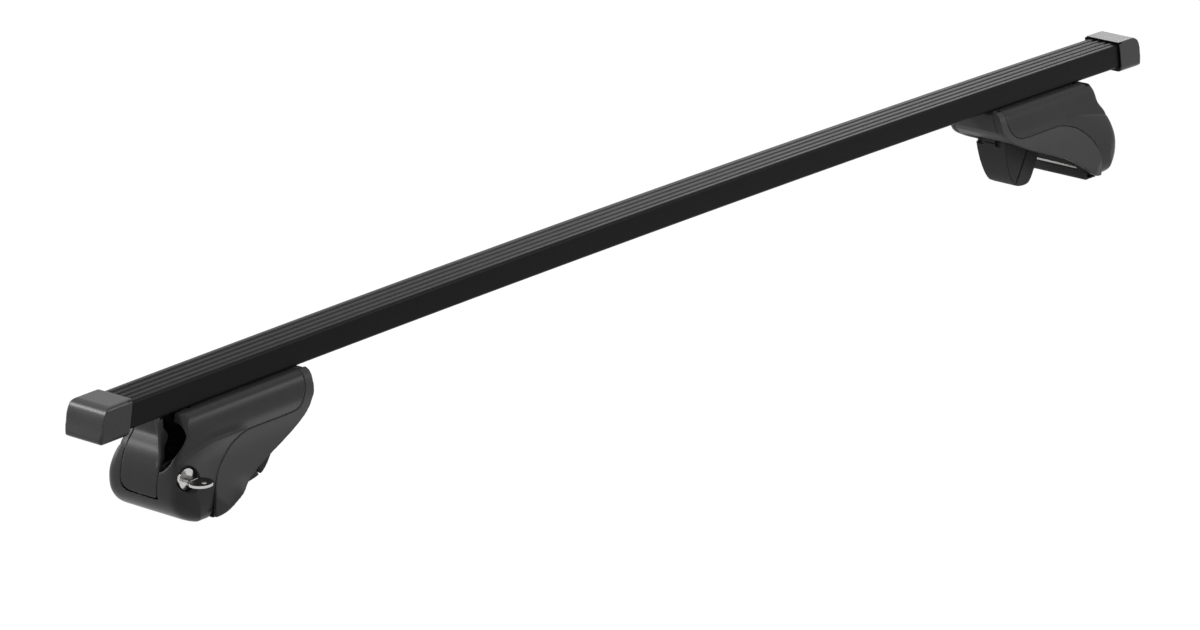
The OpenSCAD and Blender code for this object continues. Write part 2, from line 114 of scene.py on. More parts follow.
azimuth, elevation, roll = map(math.radians, (AZIMUTH, ELEVATION, ROLL))
back = Vector((math.sin(azimuth) * math.cos(elevation),
               -math.cos(azimuth) * math.cos(elevation),
               math.sin(elevation)))
right = (-back).cross(Vector((0, 0, 1))).normalized()
up = right.cross(-back)
right, up = (right * math.cos(roll) + up * math.sin(roll),
             up * math.cos(roll) - right * math.sin(roll))
camera_data = bpy.data.cameras.new("camera")
camera_data.sensor_width = SENSOR
camera_data.lens = LENS_IN_DOTS * SENSOR / PICTURE_WIDTH
camera_data.clip_start, camera_data.clip_end = 0.1, 60
camera = bpy.data.objects.new("camera", camera_data)
bpy.context.scene.collection.objects.link(camera)
place = Matrix((right, up, back)).transposed().to_4x4()
place.translation = (back * DISTANCE - right * SHIFT_RIGHT - up * SHIFT_UP
                     + Vector((0, 0, BAR_Z)))
camera.matrix_world = place
bpy.context.scene.camera = camera
print("camera stands at", [round(v, 3) for v in place.translation])

# %% [markdown]
# ## Floor, backdrop and lamps
#
# The rack is shown against plain white. The floor and the world are white
# to the camera and in reflections, while the light that they throw on the
# rack is set apart from that, so the black plastic stays black.

# %% World and floor
WHITE = (1, 1, 1, 1)
WORLD_LIGHT, FLOOR_GREY, FLOOR_GLOW, FLOOR_SHARE = 0.32, 0.3, 1.1, 0.9
FLOOR_SIZE, FLOOR_Z = 14, -0.0005
scene = bpy.context.scene
scene.view_settings.view_transform = "Standard"


def seen(tree, share):
    """A mask of rays that look at a thing or mirror it, up to a share."""
    path = tree.nodes.new("ShaderNodeLightPath")
    last = path.outputs["Is Camera Ray"]
    for ray in ("Is Glossy Ray", "Is Transmission Ray"):
        both = tree.nodes.new("ShaderNodeMath")
        both.operation = "MAXIMUM"
        tree.links.new(last, both.inputs[0])
        tree.links.new(path.outputs[ray], both.inputs[1])
        last = both.outputs["Value"]
    part = tree.nodes.new("ShaderNodeMath")
    part.operation = "MULTIPLY"
    part.inputs[1].default_value = share
    tree.links.new(last, part.inputs[0])
    return part.outputs["Value"]


def white_when_seen(tree, out, falls, shown, share):
    """One shader for the light that falls on things, one that is seen."""
    pick = tree.nodes.new("ShaderNodeMixShader")
    tree.links.new(seen(tree, share), pick.inputs["Fac"])
    tree.links.new(falls.outputs[0], pick.inputs[1])
    tree.links.new(shown.outputs[0], pick.inputs[2])
    tree.links.new(pick.outputs["Shader"], out.inputs["Surface"])


world = bpy.data.worlds.new("studio")
scene.world = world
world.use_nodes = True
tree = world.node_tree
tree.nodes.clear()
shown, falls = [tree.nodes.new("ShaderNodeBackground") for _ in range(2)]
shown.inputs["Color"].default_value = WHITE
falls.inputs["Color"].default_value = WHITE
falls.inputs["Strength"].default_value = WORLD_LIGHT
white_when_seen(tree, tree.nodes.new("ShaderNodeOutputWorld"), falls, shown, 1)

bpy.ops.mesh.primitive_plane_add(size=FLOOR_SIZE, location=(0, 0, FLOOR_Z))
floor = bpy.context.object
floor.name = "floor"
paint = bpy.data.materials.new("white floor")
paint.use_nodes = True
tree = paint.node_tree
tree.nodes.clear()
matt = tree.nodes.new("ShaderNodeBsdfDiffuse")
matt.inputs["Color"].default_value = (FLOOR_GREY, FLOOR_GREY, FLOOR_GREY, 1)
glow = tree.nodes.new("ShaderNodeEmission")
glow.inputs["Strength"].default_value = FLOOR_GLOW
white_when_seen(tree, tree.nodes.new("ShaderNodeOutputMaterial"), matt, glow,
                FLOOR_SHARE)
floor.data.materials.append(paint)
floor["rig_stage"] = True
print("floor and backdrop are up")


# %% Lamps
def lamp(name, spot, aim, size, power):
    """A square soft lamp at one spot that faces another."""
    data = bpy.data.lights.new(name, "AREA")
    data.shape = "RECTANGLE"
    data.size, data.size_y = size
    data.energy = power
    made = bpy.data.objects.new(name, data)
    scene.collection.objects.link(made)
    made.location = spot
    made.rotation_mode = "QUATERNION"
    look = Vector(aim) - Vector(spot)
    made.rotation_quaternion = look.to_track_quat("-Z", "Y")


lamp("overhead", (0.1, 0.3, 1.6), (0.1, 0.3, 0), (3.6, 2.6), 17)
lamp("overhead_right", (2.5, 1.2, 1.5), (0.6, 0, 0), (1.2, 1.4), 24)
lamp("rear_left", (-1.7, 1.35, 1.4), (-0.5, 0, 0.05), (0.8, 0.6), 30)
lamp("rear_low", (-1.25, 2.2, 0.42), (-0.5, 0, 0.03), (1.1, 0.6), 18)
lamp("front_right", (1.6, -2.0, 0.9), (0, 0, 0.05), (1.0, 1.0), 20)
lamp("front_left", (-1.7, -1.5, 0.35), (-0.5, 0, 0.05), (0.5, 0.7), 4)
print("lamps:", len(bpy.data.lights))

# %% [markdown]
# ## Tools for the moulded pieces
#
# Each foot is easiest to think of as the block that is left where several
# long bars cross: one has the foot's outline from the side, one from the
# end, one from above. A ring of points is added, drawn to an outline and
# pulled across. The bars are cut against each other with Boolean modifiers,
# and a Remesh with a little smoothing gives the soft edges of a moulding.

# %% Helpers
MM = 0.001


def wake(piece):
    """Makes one piece the only selected and active one."""
    bpy.ops.object.select_all(action="DESELECT")
    piece.select_set(True)
    bpy.context.view_layer.objects.active = piece


def to_point(axis, u, v, w):
    """A point in metres from two outline values and one along the axis."""
    spot = {"x": (w, u, v), "y": (u, w, v), "z": (u, v, w)}[axis]
    return Vector(spot) * MM


def prism(name, outline, axis, low, high, steps=1):
    """Draws a ring of points to an outline and pulls it along an axis."""
    bpy.ops.object.select_all(action="DESELECT")
    bpy.ops.mesh.primitive_circle_add(vertices=len(outline), radius=1,
                                      fill_type="NGON", location=(0, 0, 0))
    piece = bpy.context.object
    piece.name = name
    for vert, (u, v) in zip(piece.data.vertices, outline):
        vert.co = to_point(axis, u, v, low)
    pull = to_point(axis, 0, 0, (high - low) / steps)
    bpy.ops.object.mode_set(mode="EDIT")
    bpy.ops.mesh.select_all(action="SELECT")
    for _ in range(steps):
        bpy.ops.mesh.extrude_region_move(
            TRANSFORM_OT_translate={"value": pull})
    bpy.ops.mesh.select_all(action="SELECT")
    bpy.ops.mesh.normals_make_consistent(inside=False)
    bpy.ops.object.mode_set(mode="OBJECT")
    return piece


def flow(points, parts=4):
    """A smooth line through points, as a batten bent round pins."""
    run = []
    for i in range(len(points) - 1):
        p0 = Vector(points[max(i - 1, 0)])
        p1, p2 = Vector(points[i]), Vector(points[i + 1])
        p3 = Vector(points[min(i + 2, len(points) - 1)])
        for k in range(parts):
            t = k / parts
            run.append(0.5 * (2 * p1 + (p2 - p0) * t
                              + (2 * p0 - 5 * p1 + 4 * p2 - p3) * t * t
                              + (3 * p1 - 3 * p2 + p3 - p0) * t ** 3))
    return [(v[0], v[1]) for v in run] + [tuple(points[-1])]


def arc(cx, cy, r, start, end, parts=12):
    """Points on a round, from one angle in degrees to another."""
    turns = [math.radians(start + (end - start) * k / parts)
             for k in range(parts + 1)]
    return [(cx + r * math.cos(turn), cy + r * math.sin(turn))
            for turn in turns]


def both_sides(half):
    """A whole outline from the half that lies on the plus side."""
    return list(half) + [(-u, v) for u, v in reversed(half) if u > 0]


def held(value):
    """A value kept between 0 and 1."""
    return max(0, min(1, value))


def finish_with(piece, kind, **settings):
    """Adds one modifier and applies it."""
    wake(piece)
    modifier = piece.modifiers.new(kind.lower(), kind)
    for key, value in settings.items():
        setattr(modifier, key, value)
    bpy.ops.object.modifier_apply(modifier=modifier.name)


def cut(piece, other, operation="DIFFERENCE"):
    """Cuts a piece with another one, crosses it with it or joins it on."""
    finish_with(piece, "BOOLEAN", operation=operation, solver="EXACT",
                object=other)
    bpy.data.objects.remove(other)


def thin_out(piece, share):
    """Keeps a share of the mesh's faces and shades them smooth."""
    if share < 1:
        finish_with(piece, "DECIMATE", ratio=share)
    for face in piece.data.polygons:
        face.use_smooth = True


ASKEW = Matrix.Rotation(0.7, 4, Vector((0.5, 0.3, 0.8)))


def mould(piece, voxel, rounds, keep=1.0, lip=None, rubs=40):
    """Skins a piece afresh and rubs its edges round. It is skinned askew,
    so that the grid's steps don't line up with its faces. A lip is a rule
    for how much more each place is rubbed, and keep thins the mesh out."""
    piece.data.transform(ASKEW)
    finish_with(piece, "REMESH", mode="VOXEL", voxel_size=voxel * MM)
    piece.data.transform(ASKEW.inverted())
    if rounds:
        finish_with(piece, "SMOOTH", factor=0.5, iterations=rounds)
    if lip:
        group = piece.vertex_groups.new(name="lip")
        for vert in piece.data.vertices:
            group.add([vert.index], lip(*(vert.co / MM)), "REPLACE")
        finish_with(piece, "SMOOTH", factor=0.5, iterations=rubs,
                    vertex_group="lip")
        piece.vertex_groups.clear()
    thin_out(piece, keep)


def block(name, low, high):
    """A plain block between two corners in millimetres."""
    bpy.ops.object.select_all(action="DESELECT")
    bpy.ops.mesh.primitive_cube_add(size=1)
    piece = bpy.context.object
    piece.name = name
    for vert in piece.data.vertices:
        vert.co = Vector([(low[k] if vert.co[k] < 0 else high[k]) * MM
                          for k in range(3)])
    return piece


def rod(name, axis, centre, radius, low, high, sides=48, steps=1):
    """A round bar along an axis, from two centre values."""
    ring = arc(centre[0], centre[1], radius, 0, 360 - 360 / sides, sides - 1)
    return prism(name, ring, axis, low, high, steps)


def copy_of(piece, name):
    """A copy of a piece with a mesh of its own."""
    made = piece.copy()
    made.data = piece.data.copy()
    made.name = name
    scene.collection.objects.link(made)
    return made


print("helpers are ready")

# %% [markdown]
# ## Where a foot stands
#
# Everything on a foot is measured from the bar above it: x points out to
# the bar's near end, y to the side with the lock, z up. The bar is bowed,
# so each foot leans by less than a degree. The left foot is the right one
# turned half round.

# %% A foot's place
FOOT_X, BOW_R, LEFT_JAW_IN = 452.0, 36000.0, 4.5
MERGE_WITHIN = 0.000005
HALF_TURN = Matrix.Rotation(math.pi, 4, "Z")


def on_bar(x):
    """The place on the bowed bar that is x millimetres from its middle."""
    lean = math.asin(x / BOW_R)
    sag = BOW_R * (1 - math.cos(lean))
    return (Matrix.Translation((x * MM, 0, BAR_Z - sag * MM))
            @ Matrix.Rotation(lean, 4, "Y"))


on_right = on_bar(FOOT_X)
SIDES = {"left": HALF_TURN @ on_right, "right": on_right}


def into_foot(node):
    """A merged copy of a CAD piece of the right foot, in foot terms."""
    made = copy_of(frame["nodes"][node], node + "_copy")
    made.parent = None
    made.data.transform(on_right.inverted())
    wake(made)
    bpy.ops.object.mode_set(mode="EDIT")
    bpy.ops.mesh.select_all(action="SELECT")
    bpy.ops.mesh.remove_doubles(threshold=MERGE_WITHIN)
    bpy.ops.object.mode_set(mode="OBJECT")
    return made


def body_with(node):
    """The moving body that a node belongs to."""
    groups = frame["record"]["behaviour"]["bodies"]
    return next(body for body, names in groups.items() if node in names)


def slot_with(node):
    """The material slot that a node has in the record."""
    return next(s["material_slot"] for s in frame["record"]["subparts"]
                if s["node"] == node)


def stand_for(piece, stem, sides=("left", "right")):
    """Copies a finished piece into each foot, where it rides on the body
    of the node that it stands for and takes that node's slot."""
    made = []
    for side in sides:
        node = f"{stem}_{side}" if stem != "key" else "key"
        twin = copy_of(piece, node + "_skin")
        if side == "left" and stem in ("jaw", "jaw_pad"):
            twin.data.transform(Matrix.Translation((LEFT_JAW_IN * MM, 0, 0)))
        twin.data.transform(SIDES[side])
        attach(twin, body_with(node))
        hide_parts(node)
        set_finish(twin, slot_with(node))
        made.append(twin)
    bpy.data.objects.remove(piece)
    print("made", [o.name for o in made], len(made[0].data.polygons), "faces")


print("a foot leans", round(math.degrees(math.asin(FOOT_X / BOW_R)), 3),
      "degrees")

# %% [markdown]
# ## The form of a foot
#
# From the side a foot is a long wedge that ends in a drum under the bar's
# end. From the end it has a slim neck, then a shoulder that spreads out.
# The shoulder's line falls towards the outer end, so the points of that bar
# are let down a little more the further out they are. Two more bars cross
# at the outer corners and round them off. The form is made twice, once as
# its skin and once as the hollow inside, with each outline drawn in by t.

# %% The whole form
DRUM_X, DRUM_Z, DRUM_R, DRUM_SWELL = 51.5, -58.5, 25.0, 0.9
FOOT_IN, FOOT_TOP, FOOT_LOW = -64.8, -10.3, -83.5
SHOULDER_Z, SHOULDER_FROM, SHOULDER_RUN, SHOULDER_FALL = -32, 28, 42.5, 6.8
CORNER_TURN, SKIN_OUT, WALL = 50.2, 0.35, 2.6


def side_line(t):
    """The outline from the side. The skin's drum is drawn a bit larger,
    as the rubbing shrinks it."""
    neck = flow([(76.5, -58.5), (75.8, -53), (74, -46), (71.4, -40),
                 (67.8, -34.5), (64, -30.5), (61.2, -27), (59.8, -22),
                 (58.6, -16), (57.4, FOOT_TOP)], 3)
    swell = DRUM_SWELL if t < 0 else 0
    drum = arc(DRUM_X, DRUM_Z, DRUM_R - t + swell, -90, 0, 14)
    return ([(FOOT_IN + t, FOOT_LOW + t)] + drum
            + [(x - t, z) for x, z in neck[1:-1]]
            + [(57.4 - t, FOOT_TOP - t), (FOOT_IN + t, FOOT_TOP - t)])


def end_line(t):
    """The outline from the end: neck, shoulder and spreading skirt."""
    half = flow([(15.2, FOOT_TOP), (17.6, -10.8), (20.3, -12.3),
                 (22.3, -14.8), (23.4, -17.8), (24.2, -21), (25.2, -25),
                 (26.2, -28.6), (27.4, -31.6), (28.7, -34), (30.1, -37),
                 (32.4, -43), (37.2, -59), (40, -69), (41.4, -75),
                 (40.8, -78.6), (39, -81.2), (36, -83), (31, -84)], 3)
    half = [(y - t, z - t * max(0, (z + 24) / 12)) for y, z in half]
    return both_sides([(0, FOOT_TOP - t)] + half + [(0, -84)])


def plan_line(t):
    """The outline from above, widest near the middle."""
    out = flow([(-62, 33), (-50, 36), (-20, 41), (5, 43), (30, 43),
                (48, 39.4), (60, 37.6), (68, 36.6), (72, 35.4),
                (74.6, 33.7), (76.2, 31.4), (77, 27)], 3)
    half = ([(-66 + t, 0), (-66 + t, 26 - t)]
            + [(x - t * max(0, (x - 66) / 11), y - t) for x, y in out]
            + [(77 - t, 0)])
    return half + [(x, -y) for x, y in reversed(half) if y > 0]


def corner_line(t, closer):
    """The outline seen along an outer corner. The corner on the lock's
    side is cut a little closer."""
    edge = [(50.6, -12.5), (53.4, -15.7), (55.4, -20), (57.3, -25.5),
            (60, -29), (62.8, -31.8), (65.4, -35.4), (67.9, -40)]
    if closer:
        edge += [(70, -46), (71.7, -52), (72.4, -57), (72.2, -62),
                 (71.4, -67), (69.9, -70.6), (68, -74), (65.6, -78),
                 (62.4, -81), (59, -84)]
    else:
        edge += [(70.8, -46), (72.6, -52.5), (73.6, -59), (73.8, -65),
                 (73.2, -69.5), (71.8, -74.4), (69.4, -80), (67, -84)]
    return ([(-150, -100), (-150, 0), (50 - t, 0)]
            + [(d - t, z) for d, z in flow(edge, 3)]
            + [(edge[-1][0] - t, -100)])


def shoulder_drop(x, z):
    """How far the shoulder's line has come down at x."""
    way = min(max((x - SHOULDER_FROM) / SHOULDER_RUN, 0), 1.1)
    reach = 10 if z > SHOULDER_Z else 26
    near = max(0, 1 - abs(z - SHOULDER_Z) / reach)
    return -SHOULDER_FALL * way ** 1.5 * near


def drum_share(x, y, z):
    """How far a place belongs to the round outer end, from 0 to 1."""
    return held((x - 52) / 14) * held((-36 - z) / 10)


def foot_form(name, t, voxel=None, rounds=0):
    """The block that is left where all the bars of a foot cross."""
    form = prism(name, end_line(t), "x", -70, 80, steps=50)
    for vert in form.data.vertices:
        x, z = vert.co.x / MM, vert.co.z / MM
        if abs(vert.co.y) > 0.02:
            vert.co.z += shoulder_drop(x, z) * MM
    cut(form, prism("side", side_line(t), "y", -45, 45), "INTERSECT")
    cut(form, prism("plan", plan_line(t), "z", -90, 0), "INTERSECT")
    for turn in (CORNER_TURN, -CORNER_TURN):
        corner = prism("corner", corner_line(t, closer=turn > 0), "y",
                       -110, 110)
        corner.data.transform(Matrix.Rotation(math.radians(turn), 4, "Z"))
        cut(form, corner, "INTERSECT")
    if voxel:
        mould(form, voxel, rounds, lip=drum_share, rubs=160)
    return form


whole = foot_form("whole", -SKIN_OUT, 1.0, 8)
hollow = foot_form("hollow", WALL)
print("the form has", len(whole.data.polygons), "faces")

# %% [markdown]
# ## Lines on a foot
#
# The cover and the side panels meet along one flowing seam. The door's
# outline, its hinge and the lock's middle are set here too, as the cover
# needs an opening for each of them.

# %% Lines on a foot
SEAM_IN, SEAM_OUT = -56.6, 48.6
DOOR_NEAR, DOOR_FAR, DOOR_FOOT = 13.0, -20.5, -65.3
HINGE = (70.3, -60.2)
LOCK = (66.4, -50.0)

seam = flow([(SEAM_IN, -12), (SEAM_IN, -19), (-55.4, -23.5), (-52, -28.5),
             (-47, -32), (-40, -33.4), (-26, -33.6), (0, -33.4), (8, -34),
             (16, -35.8), (24.5, -38.8), (31, -42.8), (36.6, -47),
             (41.6, -52), (45.4, -58), (47.6, -65), (48.4, -72),
             (SEAM_OUT, -84)], 4)


def cover_line(g):
    """The side of the seam that is the cover's, a gap g away from it."""
    run = [(x + g, z + g * (0.7 if z > -70 else 0)) for x, z in seam]
    return ([(SEAM_IN + g, 0)] + run
            + [(SEAM_OUT + g, -100), (100, -100), (100, 0)])


def drum_line(t):
    """The cover's outline from the end, below its neck."""
    half = flow([(33.2, -44), (34.6, -48), (36.6, -56), (37.6, -64),
                 (37.6, -70), (36.6, -75.5), (34.6, -79.6), (31.4, -82.4),
                 (27, -84)], 3)
    return both_sides([(0, 0), (45, 0), (45, -40)]
                      + [(y - t, z) for y, z in half] + [(0, -84)])


def door_line(g):
    """The door's outline from the end, larger by a gap g."""
    far = flow([(DOOR_FAR - g, -46), (DOOR_FAR - g, DOOR_FOOT + 11),
                (DOOR_FAR + 0.6 - g, DOOR_FOOT + 6.4 - g),
                (DOOR_FAR + 2.6 - g, DOOR_FOOT + 2.8 - g),
                (DOOR_FAR + 6.4, DOOR_FOOT + 0.8 - g),
                (DOOR_FAR + 12, DOOR_FOOT - g)], 4)
    near = arc(DOOR_NEAR - 3, DOOR_FOOT + 3, 3 + g, -90, 0, 6)
    return [(DOOR_FAR - g, 0)] + far + near + [(DOOR_NEAR + g, 0)]


print("seam of", len(seam), "points")

# %% [markdown]
# ## Outer cover
#
# The satin-black cover wraps the foot's neck and its outer end. It is cut
# out of the whole form along the seam, hollowed, and opened for the door,
# the fingers and the lock. The room in which the door swings is a round
# bar that gets narrower at its far end, so that little of the cover goes.

# %% Cut the cover
DOOR_GAP, SWING_R, SWING_NARROW, SWING_RUN = 0.3, 8.3, 0.25, 8
LOCK_SEAT_R, LOCK_RIM_R = 7.15, 8.5

cover = copy_of(whole, "cover")
cut(cover, prism("region", cover_line(0.05), "y", -46, 46), "INTERSECT")
cut(cover, prism("round_end", drum_line(0), "x", -70, 80), "INTERSECT")
inside = copy_of(hollow, "inside")
cut(inside, prism("round_in", drum_line(WALL), "x", -71, 81), "INTERSECT")
cut(inside, block("seat", (52, 19, -61), (92, 49, -39)))
cut(cover, inside)
cut(cover, block("saddle", (-70, -14.4, -40), (46, 14.4, 0)))
cut(cover, prism("door_hole", door_line(DOOR_GAP), "x", 50, 90))
swing = rod("swing", "y", HINGE, SWING_R, DOOR_FAR, DOOR_NEAR + 0.4,
            steps=12)
for vert in swing.data.vertices:
    x, y, z = vert.co / MM
    far_share = held((DOOR_FAR + SWING_RUN - y) / SWING_RUN)
    width = 1 - SWING_NARROW * far_share ** 2
    vert.co.x = (HINGE[0] + (x - HINGE[0]) * width) * MM
    vert.co.z = (HINGE[1] + (z - HINGE[1]) * width) * MM
cut(cover, swing)
recess = flow([(DOOR_NEAR - 1, -16.6), (16, -17), (20, -18.2),
               (22.6, -20.4), (24.2, -23.6), (24.5, -27), (24, -31),
               (23, -36), (21.4, -40), (19.2, -43.4), (16, -46),
               (DOOR_NEAR - 1, -47.8)], 3)
cut(cover, prism("recess", recess, "x", 52, 90))
cut(cover, rod("lock_seat", "y", LOCK, LOCK_SEAT_R, 10, 60))
cut(cover, rod("lock_rim", "y", LOCK, LOCK_RIM_R, 29.0, 60))
print("the cut cover has", len(cover.data.polygons), "faces")

# %% [markdown]
# The cover is then skinned and rubbed, most of all along the edge of the
# finger recess. A crease runs back from that recess along each side. It is
# pressed in last: just above its line the side lies about a millimetre
# deeper, and the dent runs out softly further up.

# %% Skin the cover and press its crease
RECESS_REACH, RECESS_MORE = 2.4, 2.4
CREASE_DEEP, CREASE_STEP, CREASE_TALL = 1.1, 0.6, 6


def recess_lip(x, y, z):
    """How near a place is to the finger recess's edge, from 0 to 1."""
    if x < 52 or y < DOOR_NEAR + 1.5:
        return 0
    reach = RECESS_REACH + RECESS_MORE * held((-24 - z) / 12)
    gap = min(math.hypot(y - u, z - w) for u, w in recess)
    return held(1.6 * (1 - gap / reach))


def crease_line(x):
    """How high the crease lies at x."""
    return -32.4 - 6.6 * max(0, (x - 36) / 34.5) ** 1.3


mould(cover, 0.42, 5, lip=recess_lip)
for vert in cover.data.vertices:
    x, y, z = vert.co / MM
    over = z - crease_line(x)
    if abs(y) > 20 and -CREASE_STEP < over < CREASE_TALL:
        fade = held((x - 4) / 14) * held((73.5 - x) / 5)
        if over < CREASE_STEP:
            dent = (over + CREASE_STEP) / (2 * CREASE_STEP)
        else:
            run_out = (over - CREASE_STEP) / (CREASE_TALL - CREASE_STEP)
            dent = (1 - run_out) ** 2
        vert.co.y -= math.copysign(CREASE_DEEP * fade * dent, y) * MM
thin_out(cover, 0.4)
stand_for(cover, "outer_cover")

# %% [markdown]
# ## Door
#
# A curved door covers the head of the clamp bolt. Its far edge follows the
# neck, but its near edge stands straight up, so that fingers can get behind
# it. It turns on a pin near its foot. The door is what lies within its
# outline on the form, hollowed, with an inner fin, a web, the block that
# the lock's cam catches and two knuckles for the pin joined on.

# %% Door
FIN_THICK = 2.6
KNUCKLE_R, KNUCKLE_WIDE, PIN_HOLE_R = 3.5, 6, 1.62

door = copy_of(whole, "door")
pull = flow([(57.4, -8), (63, 2.4), (67.6, 8.6), (70.6, 12)], 5)
pull = ([(52, -8)] + pull
        + [(71.4, DOOR_NEAR), (71.4, DOOR_NEAR + 5), (52, DOOR_NEAR + 5)])
cut(door, prism("pull", pull, "z", -48, 10), "UNION")
cut(door, prism("door_edge", door_line(0), "x", 50, 90), "INTERSECT")
swing_top = [(50, -100), (95, -100), (95, -11.5), (60.5, -11.5), (50, -15)]
cut(door, prism("swing_top", swing_top, "y", -40, 40), "INTERSECT")
cut(door, copy_of(hollow, "inside"))
behind = flow([(55, -6.4), (60.5, 3.0), (65, 9), (68, DOOR_NEAR - 1)], 5)
behind = ([(40, -6.4)] + behind
          + [(68.8, DOOR_NEAR + 9), (40, DOOR_NEAR + 9)])
cut(door, prism("behind", behind, "z", -55, 15))
fin = flow([(71, -14), (67.4, -18.4), (64.6, -22.6), (63.8, -25.2),
            (65.2, -28), (69.2, -34), (71.6, -39), (73, -44)], 3)
fin = [(71.2, -12.6)] + fin + [(74, -45), (72.6, -41), (71.4, -36)]
cut(door, prism("fin", fin, "y", DOOR_NEAR - FIN_THICK, DOOR_NEAR - 0.1),
    "UNION")
web = [(53.2, -47.4), (57.2, -47.4), (63, -52), (71, -54), (72.5, -46),
       (66, -43), (53.2, -43.4)]
cut(door, prism("web", web, "y", DOOR_NEAR - FIN_THICK, DOOR_NEAR - 0.2),
    "UNION")
cut(door, block("keeper", (53.2, DOOR_NEAR - FIN_THICK, -47.4),
                (57.2, DOOR_NEAR + 5.4, -43.4)), "UNION")
for y in (-14, 4):
    cut(door, rod("knuckle", "y", HINGE, KNUCKLE_R, y, y + KNUCKLE_WIDE),
        "UNION")
    cut(door, block("knuckle_foot", (70.3, y, -60.2),
                    (74.5, y + KNUCKLE_WIDE, -55.2)), "UNION")
cut(door, rod("pin_hole", "y", HINGE, PIN_HOLE_R, -30, 30, 32))
mould(door, 0.36, 4, 0.5)
stand_for(door, "door")

# %% [markdown]
# ## Side panels
#
# A lighter satin panel spreads out below the cover on each side. It is cut
# from the same form, so its skin carries on the cover's curves. The panel
# on the lock's side swells a little above its lower edge, so the points
# near there are moved outwards.

# %% Side panels
SWELL, SWELL_X, SWELL_Z, SWELL_LONG, SWELL_TALL = 2.4, 23, -71, 8, 7

sweep = flow([(FOOT_IN, -21), (-63.6, -26), (-60, -30.4), (-51.5, -36.4),
              (-35.5, -43.6), (-20, -49.4), (-5.3, -54.6), (7, -59.5),
              (18.4, -65.4), (27, -71.2), (33.4, -75.6), (39, -78.8),
              (43, -80), (47, -80.6)], 3)
sweep = [(FOOT_IN, 0)] + sweep + [(60, -80.6), (60, 0)]
panels = copy_of(whole, "panels")
cut(panels, prism("sweep", sweep, "y", -46, 46), "INTERSECT")
cut(panels, prism("region", cover_line(-0.15), "y", -47, 47))
cut(panels, copy_of(hollow, "inside"))
strip = [(17, 0), (17, -15), (19, -22), (22, -28), (25, -34), (28, -60),
         (35.5, -79), (35.5, -90), (60, -90), (60, 0)]
for name, sign in (("side_panel_lock", 1), ("side_panel_plain", -1)):
    panel = copy_of(panels, name)
    cut(panel, prism("strip", [(sign * y, z) for y, z in strip], "x",
                     -70, 62), "INTERSECT")
    if name == "side_panel_lock":
        for vert in panel.data.vertices:
            x, y, z = vert.co / MM
            near = math.exp(-((x - SWELL_X) / SWELL_LONG) ** 2
                            - ((z - SWELL_Z) / SWELL_TALL) ** 2)
            vert.co.y += SWELL * near * MM
    mould(panel, 0.42, 6, 0.5)
    stand_for(panel, name)
bpy.data.objects.remove(panels)

# %% [markdown]
# ## Jaw
#
# The jaw hangs under the foot's core and is drawn outwards by the bolt. It
# is a curved wedge: one bar with its outline from the side crosses one with
# its outline from the end. The rubber block fills the rest of that wedge,
# and a groove on each side parts the two.

# %% Jaw and its rubber
JAW_HALF = 20


def jaw_end(t):
    """The jaw's outline from the end."""
    half = flow([(14.4 - t, -36), (14.4 - t, -42), (13.9 - t, -50),
                 (13.4 - t, -60), (12.9 - t, -68), (12.2 - t, -75),
                 (10.6 - t, -80), (7 - t, -82.2)], 3)
    return both_sides([(0, -30)] + half + [(0, -82.6)])


jaw_back = flow([(-44.6, -37), (-44.8, -42), (-43.2, -50), (-40.2, -59),
                 (-35.6, -68.6), (-31.4, -74.6), (-28.4, -77.2)], 4)
rubber_side = [(-26.2, -75.2), (-15, -50.6), (-13, -37)]
jaw = prism("jaw", jaw_back + rubber_side, "y", -JAW_HALF, JAW_HALF)
cut(jaw, prism("jaw_end", jaw_end(0), "x", -60, 20), "INTERSECT")
cut(jaw, rod("bolt_way", "x", (0, -44), 4.5, -41.4, 20))
cut(jaw, block("nut_pocket", (-26.5, -6.5, -50.5), (-20, 6.5, -10)))
for low, high in (((-47, -4.8, -42), (-42.4, 7.6, -30)),
                  ((-47, -9.3, -43.9), (-42, -4.2, -30)),
                  ((-47, 7.4, -44.2), (-42, 12, -30)),
                  ((-47, 7.4, -42.6), (-42.6, 21, -30))):
    cut(jaw, block("notch", low, high))
groove = [(-12, -48.6), (-16.6, -50.6), (-27.8, -75.6), (-24, -80),
          (-26.2, -75), (-14.9, -50.5)]
for low, high in ((11.4, JAW_HALF), (-JAW_HALF, -11.4)):
    cut(jaw, prism("groove", groove, "y", low, high))
mould(jaw, 0.45, 4, 0.5)
stand_for(jaw, "jaw")

under = flow([(-27.2, -77.6), (-23, -79.2), (-16, -80.8), (-11.6, -81.2),
              (-8.6, -79.4), (-4.6, -70), (-1, -61), (-0.6, -56),
              (-4, -52.4)], 4)
rubber = prism("jaw_rubber", [(-14.0, -50.6), (-25.2, -75.2)] + under,
               "y", -JAW_HALF, JAW_HALF)
cut(rubber, prism("jaw_end", jaw_end(0.3), "x", -60, 20), "INTERSECT")
mould(rubber, 0.45, 5, 0.5)
stand_for(rubber, "jaw_pad")

# %% [markdown]
# ## Housing and fixed pad
#
# The core of the foot and its fixed pad keep their solid shapes. A copy of
# each is merged, skinned afresh and rubbed a little, as a moulded piece has
# no knife edges.

# %% Softened core
for stem, voxel, rounds in (("housing", 0.75, 4), ("fixed_pad", 0.55, 3)):
    piece = into_foot(stem + "_right")
    mould(piece, voxel, rounds, 0.6)
    stand_for(piece, stem)

# %% Clear the patterns
for helper in (whole, hollow):
    bpy.data.objects.remove(helper)

# %% [markdown]
# ## Bar
#
# The bar is a thin-walled steel section with fine ribs along its top. Its
# section is drawn once and pulled along in steps, and each ring is then set
# on the bar's slight upward bow.

